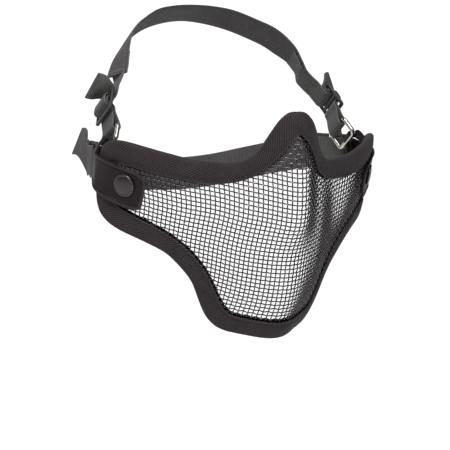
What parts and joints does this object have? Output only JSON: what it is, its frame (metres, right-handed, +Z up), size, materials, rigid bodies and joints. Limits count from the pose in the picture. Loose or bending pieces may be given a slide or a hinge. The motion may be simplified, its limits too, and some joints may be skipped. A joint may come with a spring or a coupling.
{
  "type": "mesh face mask",
  "caption": "Woven wire lower face mask with a fabric bound edge, snap side tabs, a crown strap and a nape strap on bar sliders.",
  "frame": {"origin": "the middle of the head between the ears, level with the snap caps, on the mask's plane of symmetry", "axes": "+Z up, +Y to the back of the head, -Y the way the face looks, +X to the wearer's left"},
  "size_m": [0.2196, 0.206, 0.2281],
  "materials": {
    "wire": "black coated woven steel wire, semi-gloss",
    "binding": "ribbed woven binding",
    "tab_leather": "smooth synthetic leather, satin",
    "snap_enamel": "dark enamelled snap cap",
    "post_steel": "plain steel",
    "ring_metal": "bent steel wire",
    "slider_plastic": "moulded, fine grain",
    "webbing": "flat woven webbing",
    "elastic": "ribbed woven elastic"
  },
  "bodies": {
    "root": {"mesh_shell": "wire", "edge_band": "binding", "side_tab_right": "tab_leather", "side_tab_left": "tab_leather", "snap_cap_right": "snap_enamel", "snap_cap_left": "snap_enamel", "snap_post_right": "post_steel", "snap_post_left": "post_steel", "ring_right": "ring_metal", "ring_left": "ring_metal", "upper_slider_right": "slider_plastic", "upper_slider_left": "slider_plastic", "lower_slider_right": "slider_plastic", "lower_slider_left": "slider_plastic", "upper_web_right": "webbing", "upper_web_left": "webbing", "lower_web_right": "webbing", "lower_web_left": "webbing", "crown_strap": "elastic", "nape_strap": "elastic"}
  },
  "joints": []
}
